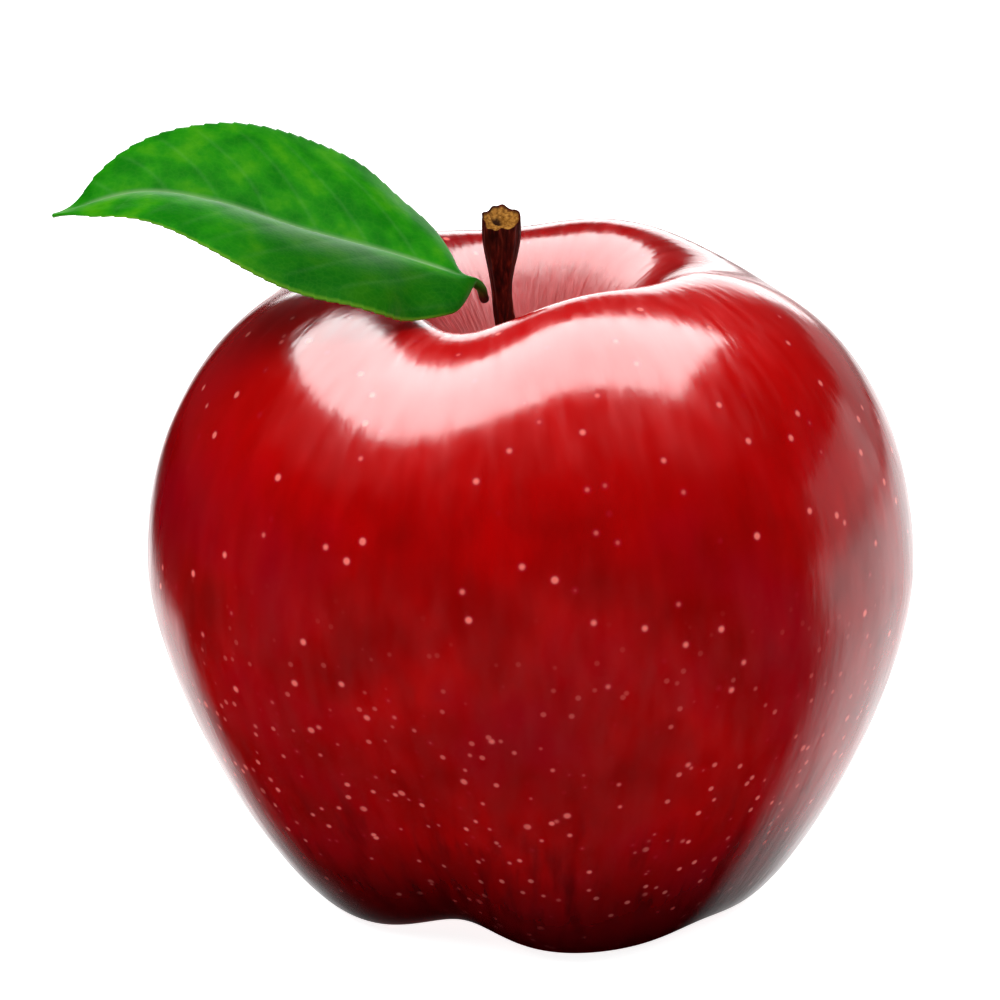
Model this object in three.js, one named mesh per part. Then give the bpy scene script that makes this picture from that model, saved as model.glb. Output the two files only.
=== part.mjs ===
// A whole dark red dessert apple, as picked: five-lobed fruit, woody stem, one leaf,
// and the dried flower remains (sepals and stamens) in the basin underneath.
// Millimetres, +Z up. The front of the apple is -Y, its leaf points to -X.
// The apple stands at z = 0, on small flat spots on four of its lobes; the narrow fifth just touches.

import * as THREE from "three";

// ---- Driving dimensions, fruit ----
const equatorRadius = 40.6; // widest part, before the furrows cut in
const equatorHeight = 36.4;
const shoulderHeight = 69.5; // top of the shoulders, between two furrows
const shoulderRadius = 18.8; // radius of the crest round the stem cavity
const cavityDepth = 18; // from the shoulders down to the cavity floor
const baseRadius = 19.8; // radius of the ring of lobes that the fruit stands on
const basinDepth = 9; // from the table up to the basin floor
const basinFloorRadius = 4.5; // flat floor that the sepals sit on
const flatDepth = 0.2; // how much each lobe is pressed flat where it rests
const flatWidth = 2.4; // width of that flat spot, from the middle outwards
const leanAcross = -1.5; // degrees, top towards -X
const leanForward = -0.5; // degrees, top towards -Y

// How far the section of the fruit runs straight on from each place before it bends away.
const basinFloorPull = 3.5;
const lobePull = { inwards: 4.8, outwards: 5.8 };
const equatorPull = { down: 12.5, up: 18 };
const crestPull = { outwards: 10, inwards: 8 };
const cavityFloorPull = { outwards: 4.5, up: 0.7 };

// ---- Driving dimensions, furrows between the five lobes ----
const furrows = [
  { azimuth: -115, depth: 1.4 },
  { azimuth: -41, depth: 0.4 },
  { azimuth: 18, depth: 1.1 },
  { azimuth: 98, depth: 0.7 },
  { azimuth: 166, depth: 0.9 },
];
const shoulderDip = 3.8; // how far a furrow of depth 1 lowers the shoulders
const baseLift = 1.5; // how far it lifts the ring of lobes off the table
const shoulderPinch = 0.02; // share of the radius that it cuts in at the shoulders
const equatorPinch = 0.02;
const basePinch = 0.1;
const shoulderSharpness = 6; // how narrow the furrows are, on top
const baseSharpness = 18; // and at the base, where they are narrow notches

// The places that the section of the fruit passes, numbered in order.
const stages = { basinFloor: 0, lobes: 1, equator: 2, shoulders: 3, cavityFloor: 4 };
const baseNotchEnd = 2.3; // stage at which the notches of the base have died out

// ---- Driving dimensions, stem ----
const stemRadius = 1.05;
const stemKnobRadius = 1.9; // the swollen upper end, where it was broken off
const stemAboveShoulders = 3; // middle of the cut end above the shoulders
const socketDepth = 4; // how far the stem goes down into the flesh
const stemCutAngle = 25; // degrees that the cut end faces towards the front
const stemSway = [-2.75, -1.4]; // how far the top stands off from the foot, in x and y
const stemNeckHeight = 2; // straight up from the cavity floor before it bends
const stemElbow = { rise: 0.5, sway: 0.7, setBack: 0.4 }; // shares of the way to the top, and mm towards +X
const stemKnobSpan = [0.66, 0.94]; // shares of the stem's length over which it swells
const stemCutStart = 0.8; // share of the length from which the end begins to slant
const stemSteps = 16;
const stemSides = 14;

// ---- Driving dimensions, leaf ----
const leafLength = 44; // along the midrib, without its stalk
const leafWidth = 27; // both halves, laid flat
const leafThickness = 0.5;
const midribThickness = 1;
const petioleLength = 7;
const petioleRadius = 0.5;
const petioleDirection = [-0.17, -0.87, 0.46]; // forward from the stem and up
const leafBelowShoulders = 5.6; // where the petiole leaves the stem
const leafFold = { near: [2, -32], far: [42, 22] }; // degrees of slope at the midrib and the margin
const leafFoldWidth = 4; // half width from which the leaf has its full fold
const leafFootDroop = 17; // degrees by which both halves hang lower at the foot of the blade
const leafFootEnd = 0.42; // share of the leaf's length at which that droop has gone
const leafOutline = { near: [0.6, 1], far: [0.9, 1.2] }; // powers of the rise and the fall of each half
const midribHalfWidth = 0.9;
const midribFade = 0.3; // share of the leaf's length over which the midrib thins to the tip
// The midrib's course, in shares of the blade's length: it rises to -X and droops at its tip.
const midribCourse = [
  [0, 0, 0],
  [-0.17, -0.02, 0.065],
  [-0.385, -0.04, 0.13],
  [-0.585, -0.06, 0.2],
  [-0.75, -0.08, 0.225],
  [-0.95, -0.1, 0.175],
];
const leafClearance = 0.5; // least height of the leaf over the skin
const leafSegments = 34;
const leafSegmentsAcross = 8;
const leafCrowding = 1.5; // power that crowds the rows across the leaf towards the midrib

// ---- Driving dimensions, dried flower ----
const sepalCount = 5;
const sepalLength = 5.5;
const sepalWidth = 2.2;
const sepalThickness = 0.5;
const sepalRingRadius = 3.2;
const sepalBend = [0.35, 0.6]; // shares of its length where it turns inwards, and back out
const sepalLean = { middle: 2.8, tip: 0.6 }; // how far it is pulled in over the basin floor
const sepalTaper = { share: 0.8, power: 1.4 }; // how much narrower the tip is, and how suddenly
const sepalSteps = 7;
const sepalStepsAcross = 2;
const sepalCup = 0.25; // rise of its edges, as a share of the half width
const stamenTuftRadius = 0.8;
const stamenTuftLength = 3.6;
// The tuft's outline from its tip to its foot, in shares of its radius and length.
const stamenOutline = [
  [0.7, 1],
  [1, 0.8],
  [0.8, 0.4],
  [1, 0],
];
const stamenSides = 10;

const clearance = 0.3; // gap between pieces that touch
const turnSegments = 64; // facets round the fruit
const sectionSteps = { basin: 7, flank: 10, shoulder: 9, cavity: 9 };

const cavityFloor = shoulderHeight - cavityDepth;
const socketRadius = stemRadius + clearance;
const degrees = THREE.MathUtils.degToRad;

// The point of the leaning core line at a height: the foot stays put, the top leans.
function coreAt(z) {
  return new THREE.Vector3(z * Math.sin(degrees(leanAcross)), z * Math.sin(degrees(leanForward)), z);
}

// Sum of the furrows at an angle round the core: about 0 on a lobe, a furrow's depth in its middle.
function furrowSum(angle, sharpness) {
  let sum = 0;
  for (const { azimuth, depth } of furrows) {
    sum += depth * Math.exp(sharpness * (Math.cos(angle - degrees(azimuth)) - 1));
  }
  return sum;
}

// A smooth bell: 1 at the centre, 0 at the low and the high end.
function bell(value, low, centre, high) {
  const side = value < centre ? centre - low : high - centre;
  const distance = Math.min(Math.abs(value - centre) / side, 1);
  return 0.5 + 0.5 * Math.cos(Math.PI * distance);
}

// Half section of the fruit, from the basin floor out, up and over into the stem socket.
// Each point is {r, z, stage}. The flat spot lies between the first curve and the second,
// so both of those begin with a point of their own.
function fruitSection() {
  const flatInside = baseRadius - flatWidth / 2;
  const flatOutside = baseRadius + flatWidth / 2;
  const basin = [
    [basinFloorRadius, basinDepth],
    [basinFloorRadius + basinFloorPull, basinDepth],
    [flatInside - lobePull.inwards, -flatDepth],
    [flatInside, -flatDepth],
  ];
  const flank = [
    [flatOutside, -flatDepth],
    [flatOutside + lobePull.outwards, -flatDepth],
    [equatorRadius, equatorHeight - equatorPull.down],
    [equatorRadius, equatorHeight],
  ];
  const shoulder = [
    [equatorRadius, equatorHeight],
    [equatorRadius, equatorHeight + equatorPull.up],
    [shoulderRadius + crestPull.outwards, shoulderHeight],
    [shoulderRadius, shoulderHeight],
  ];
  const cavity = [
    [shoulderRadius, shoulderHeight],
    [shoulderRadius - crestPull.inwards, shoulderHeight],
    [socketRadius + cavityFloorPull.outwards, cavityFloor + cavityFloorPull.up],
    [socketRadius, cavityFloor],
  ];
  const curves = [
    { corners: basin, steps: sectionSteps.basin, firstStep: 0, stage: stages.basinFloor },
    { corners: flank, steps: sectionSteps.flank, firstStep: 0, stage: stages.lobes },
    { corners: shoulder, steps: sectionSteps.shoulder, firstStep: 1, stage: stages.equator },
    { corners: cavity, steps: sectionSteps.cavity, firstStep: 1, stage: stages.shoulders },
  ];
  const section = [{ r: 0, z: basinDepth, stage: stages.basinFloor }];
  for (const { corners, steps, firstStep, stage } of curves) {
    const curve = new THREE.CubicBezierCurve(...corners.map(([r, z]) => new THREE.Vector2(r, z)));
    for (let step = firstStep; step <= steps; step += 1) {
      const { x, y } = curve.getPoint(step / steps);
      section.push({ r: x, z: y, stage: stage + step / steps });
    }
  }
  const socketFloor = cavityFloor - socketDepth;
  section.push({ r: socketRadius, z: socketFloor, stage: stages.cavityFloor });
  section.push({ r: 0, z: socketFloor, stage: stages.cavityFloor });
  return section;
}

// Where a point of the section goes: pinched and bent by the furrows, leaning, flat at the table.
// The tilt grows with height, from nothing at the table, so that the lobes stay in one plane.
function onFruit({ r, z, stage }, angle) {
  const { basinFloor, lobes, equator, shoulders, cavityFloor: cavityEnd } = stages;
  const wideFurrows = furrowSum(angle, shoulderSharpness);
  const atShoulders = bell(stage, equator, shoulders, cavityEnd) * wideFurrows;
  const atEquator = bell(stage, lobes, equator, shoulders) * wideFurrows;
  const atBase = bell(stage, basinFloor, lobes, baseNotchEnd) * furrowSum(angle, baseSharpness);
  const pinch = shoulderPinch * atShoulders + equatorPinch * atEquator + basePinch * atBase;
  const radius = r * (1 - pinch);
  const height = z - shoulderDip * atShoulders + baseLift * atBase;
  const x = radius * Math.cos(angle);
  const y = radius * Math.sin(angle);
  const core = coreAt(height);
  const slope = x * Math.sin(degrees(leanAcross)) + y * Math.sin(degrees(leanForward));
  const drop = (slope * Math.max(height, 0)) / shoulderHeight;
  return new THREE.Vector3(x + core.x, y + core.y, Math.max(height - drop, 0));
}

// Fruit: a turned section whose rows are then moved onto the lobed, leaning shape.
function fruitGeometry() {
  const section = fruitSection();
  const outline = section.map(({ r, z }) => new THREE.Vector2(r, z));
  const turned = new THREE.LatheGeometry(outline, turnSegments);
  const position = turned.getAttribute("position");
  for (let index = 0; index < position.count; index += 1) {
    const turn = Math.floor(index / section.length) % turnSegments;
    const point = onFruit(section[index % section.length], (turn / turnSegments) * 2 * Math.PI);
    position.setXYZ(index, point.x, point.y, point.z);
  }
  return turned;
}

// Centre line of the stem, from its foot in the socket to the middle of the cut end.
// The stretch in the socket, from the foot to the mouth, is straight.
function stemLine() {
  const foot = coreAt(cavityFloor - socketDepth + clearance);
  const mouth = coreAt(cavityFloor);
  const neck = coreAt(cavityFloor + stemNeckHeight);
  const top = new THREE.Vector3(
    mouth.x + stemSway[0],
    mouth.y + stemSway[1],
    shoulderHeight + stemAboveShoulders,
  );
  const elbow = new THREE.Vector3(
    top.x + stemElbow.setBack,
    top.y * stemElbow.sway,
    THREE.MathUtils.lerp(cavityFloor, top.z, stemElbow.rise),
  );
  return new THREE.CatmullRomCurve3([foot, mouth, neck, elbow, top]);
}

// Radius of the stem at a share of its length: slim, then swelling to the knob.
function stemRadiusAt(share) {
  const swelling = THREE.MathUtils.smoothstep(share, ...stemKnobSpan);
  return THREE.MathUtils.lerp(stemRadius, stemKnobRadius, swelling);
}

// Stem: a turned rod bent along its centre line, its cut end slanting down to the front.
function stemGeometry() {
  const section = [new THREE.Vector2(0, 0)];
  for (let step = 0; step <= stemSteps; step += 1) {
    section.push(new THREE.Vector2(stemRadiusAt(step / stemSteps), step / stemSteps));
  }
  section.push(new THREE.Vector2(0, 1));
  const rod = new THREE.LatheGeometry(section, stemSides);
  const line = stemLine();
  const position = rod.getAttribute("position");
  for (let index = 0; index < position.count; index += 1) {
    const share = position.getY(index);
    // The lathe turns round its own y axis, so its z and x become the stem's x and y.
    const offset = new THREE.Vector2(position.getZ(index), position.getX(index));
    const cut = THREE.MathUtils.smoothstep(share, stemCutStart, 1);
    const slant = cut * offset.y * Math.tan(degrees(stemCutAngle));
    const point = line.getPointAt(share);
    const along = line.getTangentAt(share);
    const across = new THREE.Vector3(1, 0, 0).addScaledVector(along, -along.x).normalize();
    const forward = new THREE.Vector3().crossVectors(along, across);
    point.addScaledVector(across, offset.x);
    point.addScaledVector(forward, offset.y);
    point.addScaledVector(along, slant);
    position.setXYZ(index, point.x, point.y, point.z);
  }
  return rod;
}

// Where on the stem the petiole springs: a point on its -X side. The stem is walked up in
// short steps until it reaches the height of the petiole.
function leafNode() {
  const line = stemLine();
  const height = shoulderHeight - leafBelowShoulders;
  const shortStep = 0.002;
  let share = 0;
  while (share < 1 && line.getPointAt(share).z < height) {
    share += shortStep;
  }
  const centre = line.getPointAt(share);
  centre.x -= stemRadiusAt(share) + clearance + petioleRadius;
  return centre;
}

// Centre line of the leaf: the petiole from the stem to the foot of the blade, then the midrib.
function midribLine(lift) {
  const node = leafNode();
  const root = new THREE.Vector3(...petioleDirection).setLength(petioleLength).add(node);
  root.z += lift;
  const atBlade = (shares) => new THREE.Vector3(...shares).multiplyScalar(leafLength).add(root);
  return new THREE.CatmullRomCurve3([node, ...midribCourse.map(atBlade)]);
}

// Half width of the leaf at a share of the blade's length. The outline rises as a power of the
// distance from the foot and falls as a power of the distance from the tip; the near half has
// the rounder foot.
function leafHalfWidth(bladeShare, near) {
  const [rise, fall] = near ? leafOutline.near : leafOutline.far;
  const widest = rise / (rise + fall);
  const outline = (share) => share ** rise * (1 - share) ** fall;
  const width = (leafWidth * outline(THREE.MathUtils.clamp(bladeShare, 0, 1))) / outline(widest);
  return Math.max(width / 2, petioleRadius);
}

// Leaf: a thin box bent along the midrib line and folded there. Its near half hangs a little
// and its far half rises; each is a shallow arch, and both hang lower at the foot of the blade.
function leafGeometry(lift) {
  const line = midribLine(lift);
  const bladeStart = petioleLength / line.getLength();
  const flat = new THREE.BoxGeometry(1, 2, 2, leafSegments, leafSegmentsAcross, 1);
  const position = flat.getAttribute("position");
  for (let index = 0; index < position.count; index += 1) {
    const share = position.getX(index) + 0.5;
    const spread = Math.abs(position.getY(index)) ** leafCrowding;
    const near = position.getY(index) > 0;
    const halfWidth = leafHalfWidth((share - bladeStart) / (1 - bladeStart), near);
    const point = line.getPointAt(share);
    const along = line.getTangentAt(share);
    const up = new THREE.Vector3(0, 0, 1).addScaledVector(along, -along.z).normalize();
    const away = new THREE.Vector3().crossVectors(along, up);
    const [atMidrib, atMargin] = near ? leafFold.near : leafFold.far;
    const open = THREE.MathUtils.smoothstep(halfWidth, petioleRadius, leafFoldWidth);
    const droop = leafFootDroop * (1 - THREE.MathUtils.smoothstep(share, bladeStart, leafFootEnd));
    // The straight line from the midrib out to a point slopes half as much as the arch has turned.
    const meanSlope = atMidrib + ((atMargin - atMidrib) * spread) / 2;
    const angle = degrees((meanSlope - droop) * open);
    const reach = halfWidth * spread;
    const ribShare = Math.exp(-((reach / midribHalfWidth) ** 2));
    const drawnOut = THREE.MathUtils.smoothstep(1 - share, 0, midribFade);
    const thickness = THREE.MathUtils.lerp(leafThickness, midribThickness, ribShare * drawnOut);
    point.addScaledVector(away, (near ? -1 : 1) * reach * Math.cos(angle));
    point.addScaledVector(up, reach * Math.sin(angle) + (thickness * position.getZ(index)) / 2);
    position.setXYZ(index, point.x, point.y, point.z);
  }
  return flat;
}

// How far a leaf has to be lifted to clear the fruit: the most that any of its points lacks
// above the skin straight below or above it.
function missingLift(leaf, fruitMesh) {
  const skyward = new THREE.Vector3(0, 0, 2 * shoulderHeight);
  const straightDown = new THREE.Vector3(0, 0, -1);
  const caster = new THREE.Raycaster();
  const point = new THREE.Vector3();
  const position = leaf.getAttribute("position");
  let lift = 0;
  for (let index = 0; index < position.count; index += 1) {
    point.fromBufferAttribute(position, index);
    caster.set(point.clone().add(skyward), straightDown);
    const [skin] = caster.intersectObject(fruitMesh);
    if (skin) {
      lift = Math.max(lift, skin.point.z + leafClearance - point.z);
    }
  }
  return lift;
}

// Sepal: a small dried point that leans in over the basin floor and curls out at its tip.
function sepalGeometry() {
  const line = new THREE.CubicBezierCurve(
    new THREE.Vector2(sepalRingRadius, -clearance),
    new THREE.Vector2(sepalRingRadius, -sepalBend[0] * sepalLength),
    new THREE.Vector2(sepalRingRadius - sepalLean.middle, -sepalBend[1] * sepalLength),
    new THREE.Vector2(sepalRingRadius - sepalLean.tip, -sepalLength),
  );
  const flat = new THREE.BoxGeometry(2, 2, 1, sepalStepsAcross, sepalStepsAcross, sepalSteps);
  const position = flat.getAttribute("position");
  for (let index = 0; index < position.count; index += 1) {
    const share = position.getZ(index) + 0.5;
    const { x: r, y: z } = line.getPoint(share);
    const along = line.getTangent(share);
    const halfWidth = (sepalWidth / 2) * (1 - sepalTaper.share * share ** sepalTaper.power);
    const side = position.getX(index) * halfWidth;
    const rise = (sepalCup * side ** 2) / halfWidth;
    const depth = (sepalThickness * position.getY(index)) / 2 + rise;
    position.setXYZ(index, r - along.y * depth, side, z + along.x * depth);
  }
  return flat;
}

// Stamens: the dried tuft in the middle of the sepals, a blunt plug with a waist and its foot up.
function stamenGeometry() {
  const onTuft = ([radius, length]) =>
    new THREE.Vector2(radius * stamenTuftRadius, -clearance - length * stamenTuftLength);
  const section = [[0, 1], ...stamenOutline, [0, 0]].map(onTuft);
  return new THREE.LatheGeometry(section, stamenSides).rotateX(Math.PI / 2);
}

function addPiece(parent, name, geometry, color, roughness) {
  const material = new THREE.MeshStandardMaterial({ color, roughness, metalness: 0 });
  const mesh = new THREE.Mesh(geometry, material);
  mesh.name = name;
  parent.add(mesh);
  return mesh;
}

const apple = new THREE.Group();
const fruit = addPiece(apple, "fruit", fruitGeometry(), 0x9a0404, 0.25);
addPiece(apple, "stem", stemGeometry(), 0x3a0d08, 0.7);
const leafLift = missingLift(leafGeometry(0), fruit);
addPiece(apple, "leaf", leafGeometry(leafLift), 0x2f8f0c, 0.5);

// The dried flower hangs under the basin floor.
const flower = new THREE.Group();
flower.position.copy(coreAt(basinDepth));
apple.add(flower);
for (let index = 1; index <= sepalCount; index += 1) {
  const sepal = addPiece(flower, `sepal_${index}`, sepalGeometry(), 0x5d4327, 0.8);
  sepal.rotation.z = ((index - 0.5) / sepalCount) * 2 * Math.PI;
}
addPiece(flower, "stamens", stamenGeometry(), 0x3b2a18, 0.9);

// The origin is under the middle of the whole apple, on the table.
const middle = new THREE.Box3().setFromObject(apple, true).getCenter(new THREE.Vector3());
const part = new THREE.Group();
part.add(apple);
apple.position.set(-middle.x, -middle.y, 0);

export default part;
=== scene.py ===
"""A whole dark red apple with its stem, one leaf and the dried flower underneath.

Every piece is a surface worked out in millimetres from the same sizes as the CAD part, then
stretched into the box of the CAD node that it stands for. The row frame is in metres: +Z up, -Y
the front.
"""

import math

import bpy
import numpy as np
from mathutils import Matrix, Vector


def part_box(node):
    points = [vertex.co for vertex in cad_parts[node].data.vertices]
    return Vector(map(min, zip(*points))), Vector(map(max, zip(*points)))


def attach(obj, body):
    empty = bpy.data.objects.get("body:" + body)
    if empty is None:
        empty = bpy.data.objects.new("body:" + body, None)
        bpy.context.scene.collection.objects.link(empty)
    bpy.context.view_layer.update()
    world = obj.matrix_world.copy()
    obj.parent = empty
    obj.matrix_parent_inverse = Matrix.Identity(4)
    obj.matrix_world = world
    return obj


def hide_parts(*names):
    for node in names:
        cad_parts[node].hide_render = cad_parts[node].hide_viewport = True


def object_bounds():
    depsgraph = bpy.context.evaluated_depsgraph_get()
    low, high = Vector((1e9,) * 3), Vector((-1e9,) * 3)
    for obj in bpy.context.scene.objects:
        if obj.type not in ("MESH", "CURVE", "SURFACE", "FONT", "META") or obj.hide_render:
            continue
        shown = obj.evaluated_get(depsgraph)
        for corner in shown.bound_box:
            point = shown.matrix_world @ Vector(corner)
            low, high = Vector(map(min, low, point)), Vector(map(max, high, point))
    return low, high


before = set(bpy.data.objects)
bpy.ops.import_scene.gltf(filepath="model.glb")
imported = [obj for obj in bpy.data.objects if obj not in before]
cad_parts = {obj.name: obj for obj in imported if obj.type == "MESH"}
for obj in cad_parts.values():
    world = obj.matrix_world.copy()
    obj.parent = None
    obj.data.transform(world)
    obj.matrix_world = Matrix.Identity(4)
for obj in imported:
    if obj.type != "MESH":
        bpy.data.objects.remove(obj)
cad_low, cad_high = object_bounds()  # the CAD model's box

# ---- Sizes of the fruit, in millimetres and degrees, as in the CAD part ----
EQUATOR_RADIUS, EQUATOR_HEIGHT = 40.6, 36.4
SHOULDER_RADIUS, SHOULDER_HEIGHT = 18.8, 69.5
CAVITY_DEPTH = 18.0
BASE_RADIUS, BASIN_DEPTH, BASIN_FLOOR_RADIUS = 19.8, 9.0, 4.5
FLAT_DEPTH, FLAT_WIDTH = 0.2, 2.4
LEAN_ACROSS, LEAN_FORWARD = -1.5, -0.5
FURROWS = ((-115, 1.4), (-41, 0.4), (18, 1.1), (98, 0.7), (166, 0.9))  # azimuth, depth
SHOULDER_DIP, BASE_LIFT = 3.8, 1.5
SHOULDER_PINCH, EQUATOR_PINCH, BASE_PINCH = 0.02, 0.02, 0.1
SHOULDER_SHARPNESS, BASE_SHARPNESS = 6, 18
CLEARANCE = 0.3
# How far the section's control points lie from the ends of its four curves.
BASIN_HANDLES, FLANK_HANDLES = (3.5, 4.8), (5.8, 12.5)
SHOULDER_HANDLES, CAVITY_HANDLES = (18, 10), (8, 4.5)
CAVITY_FLOOR_RISE = 0.7
RIPPLE_LENGTHS, RIPPLE_HEIGHT = (7, 26), 0.22
# Where its colours change: heights above the table for the lower half, the painted shade at the foot and
# the painted light on the shoulders, and the azimuth at the middle of that painted light.
LOWER_HEIGHTS, PAINTED_FOOT_SHADE_HEIGHTS, PAINTED_LIGHT_HEIGHTS = (8, 44), (1.5, 18), (44, 65)
PAINTED_LIGHT_AZIMUTH = -95

# ---- Sizes of the stem and the leaf ----
STEM_RADIUS, STEM_KNOB_RADIUS = 1.05, 1.9
STEM_ABOVE_SHOULDERS, SOCKET_DEPTH, STEM_CUT_ANGLE = 3.0, 4.0, 25.0
STEM_SWAY = (-2.75, -1.4)
STEM_NECK_HEIGHT = 2.0
LEAF_LENGTH, LEAF_WIDTH = 44.0, 27.0
BLADE_THICKNESS, MIDRIB_DEPTH, MIDRIB_HALF_WIDTH = 0.34, 0.32, 0.9
TOOTH_LENGTH, TOOTH_HEIGHT = 1.25, 0.24
VEIN_SPACING, VEIN_STAGGER, VEIN_WIDTH, MIDRIB_LINE_WIDTH = 5.2, 0.45, 0.28, 0.24
QUILT_HEIGHT, MIDRIB_GROOVE = 0.045, 0.1
VEIN_LEAN, VEIN_BEND = 0.62, 0.03  # how far a side vein runs forwards as it runs out
LEAF_OUTLINE_NEAR, LEAF_OUTLINE_FAR = (0.6, 1.0), (0.9, 1.2)  # powers of its rise and its fall
MARGIN_WAVE_HEIGHT, MARGIN_WAVE_RADIAN = 0.35, 5.5  # the length along the leaf for one radian
PETIOLE_WAY = (-0.17, -0.87, 0.46)
PETIOLE_LENGTH, PETIOLE_RADIUS = 7.0, 0.5
LEAF_BELOW_SHOULDERS = 5.6
LEAF_FOLD_NEAR, LEAF_FOLD_FAR = (2.0, -32.0), (42.0, 22.0)
LEAF_FOLD_WIDTH, LEAF_FOOT_DROOP, LEAF_FOOT_END = 4.0, 17.0, 0.42
MIDRIB_COURSE = (
    (0, 0, 0),
    (-0.17, -0.02, 0.065),
    (-0.385, -0.04, 0.13),
    (-0.585, -0.06, 0.2),
    (-0.75, -0.08, 0.225),
    (-0.95, -0.1, 0.175),
)

# ---- Sizes of the dried flower ----
SEPAL_COUNT, SEPAL_LENGTH, SEPAL_WIDTH, SEPAL_THICKNESS = 5, 5.5, 2.2, 0.35
SEPAL_RING_RADIUS = 3.2
TUFT_RADIUS, TUFT_LENGTH = 0.8, 3.6
FILAMENT_COUNT, FILAMENT_RADIUS = 18, 0.09

CAVITY_FLOOR = SHOULDER_HEIGHT - CAVITY_DEPTH
SOCKET_RADIUS = STEM_RADIUS + CLEARANCE


# ---- Small sums ----
def smoothstep(value, low, high):
    """Rises from 0 at low to 1 at high: 3t^2 - 2t^3, with t the share of the way."""
    t = np.clip((np.asarray(value, float) - low) / (high - low), 0, 1)
    return t * t * (3 - 2 * t)


def bell(value, low, centre, high):
    """1 at the centre, 0 at low and high: half a cosine wave on each side."""
    side = np.where(value < centre, centre - low, high - centre)
    return 0.5 + 0.5 * np.cos(np.pi * np.minimum(np.abs(value - centre) / side, 1))


def unit(vectors):
    """Each vector divided by its length."""
    return vectors / np.linalg.norm(vectors, axis=-1, keepdims=True)


def core_at(height):
    """The leaning core line at a height: x and y grow in proportion to z."""
    slopes = np.sin(np.radians([LEAN_ACROSS, LEAN_FORWARD]))
    return np.array([height * slopes[0], height * slopes[1], height])


def ripples(points, wavelengths, height, seed, count=7):
    """Gentle unevenness at points: the mean of sine waves that run in seeded directions."""
    rng = np.random.default_rng(seed)
    total = np.zeros(points.shape[:-1])
    for wavelength in np.geomspace(*wavelengths, count):
        direction = unit(rng.normal(size=3)) * 2 * np.pi / wavelength
        total += np.sin(points @ direction + rng.uniform(0, 2 * np.pi)) * wavelength / wavelengths[1]
    return total * height / count


def course(corners, shares):
    """A smooth line through corner points, and its direction, at shares of its length.

    A Catmull-Rom spline: between two corners each point is their cubic blend, with the knots
    spaced by the square root of the corners' distances. It is sampled finely and then read
    off at equal lengths.
    """
    corners = np.asarray(corners, float)
    ends = [2 * corners[0] - corners[1], *corners, 2 * corners[-1] - corners[-2]]
    finely = np.linspace(0, 1, 80)[:, None]
    line = [corners[:1]]
    for a, b, c, d in zip(ends, ends[1:], ends[2:], ends[3:]):
        ab, bc, cd = (math.sqrt(np.linalg.norm(q - p)) for p, q in ((a, b), (b, c), (c, d)))
        leave = ((b - a) / ab - (c - a) / (ab + bc) + (c - b) / bc) * bc
        arrive = ((c - b) / bc - (d - b) / (bc + cd) + (d - c) / cd) * bc
        t = finely[1:]
        line.append(
            (2 * t**3 - 3 * t**2 + 1) * b
            + (t**3 - 2 * t**2 + t) * leave
            + (3 * t**2 - 2 * t**3) * c
            + (t**3 - t**2) * arrive
        )
    line = np.concatenate(line)
    lengths = np.concatenate([[0], np.cumsum(np.linalg.norm(np.diff(line, axis=0), axis=1))])
    wanted = np.asarray(shares) * lengths[-1]
    points = np.stack([np.interp(wanted, lengths, line[:, axis]) for axis in range(3)], axis=-1)
    ways = unit(np.gradient(line, axis=0))
    along = np.stack([np.interp(wanted, lengths, ways[:, axis]) for axis in range(3)], axis=-1)
    return points, unit(along)


def calmed(rows, count):
    """Each row becomes the mean of the count rows round it, weighted by one arch of a sine squared.

    The first and the last row are repeated beyond the ends.
    """
    weights = np.sin(np.pi * (np.arange(count) + 0.5) / count) ** 2
    longer = np.pad(rows, ((count // 2, count // 2), (0, 0)), mode="edge")
    columns = [np.convolve(column, weights / weights.sum(), mode="valid") for column in longer.T]
    return np.stack(columns, axis=-1)


# ---- From arrays of points to pieces ----
def ring_skin(rings):
    """Points and faces of one closed skin. Each row of rings (rows, points, 3) is a closed ring.

    The first and the last row are drawn together to one point each. Quads join the rows between
    them and triangles close the two poles. The faces are turned over if their volume is negative.
    """
    rows, around = rings.shape[:2]
    inner = rings[1:-1].reshape(-1, 3)
    points = np.concatenate([rings[:1].mean(axis=1), inner, rings[-1:].mean(axis=1)])
    here = 1 + np.arange((rows - 2) * around).reshape(rows - 2, around)
    beside = np.roll(here, -1, axis=1)
    quads = np.stack([here[:-1], beside[:-1], beside[1:], here[1:]], axis=-1).reshape(-1, 4)
    pole = np.zeros(around, int)
    first = np.stack([pole, beside[0], here[0]], axis=-1)
    last = np.stack([pole + len(points) - 1, here[-1], beside[-1]], axis=-1)
    triangles = np.concatenate([first, last])
    fan = np.concatenate([quads[:, :3], quads[:, [0, 2, 3]], triangles])
    a, b, c = (points[fan[:, corner]] for corner in range(3))
    if np.einsum("ij,ij->", a, np.cross(b, c)) < 0:
        quads, triangles = quads[:, ::-1], triangles[:, ::-1]
    return points, quads, triangles


def per_point(values):
    """A value for each point of ring_skin, from an array with one for each ring point."""
    rows, around = values.shape[:2]
    inner = values[1:-1].reshape((rows - 2) * around, *values.shape[2:])
    return np.concatenate([values[:1].mean(axis=1), inner, values[-1:].mean(axis=1)])


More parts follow.
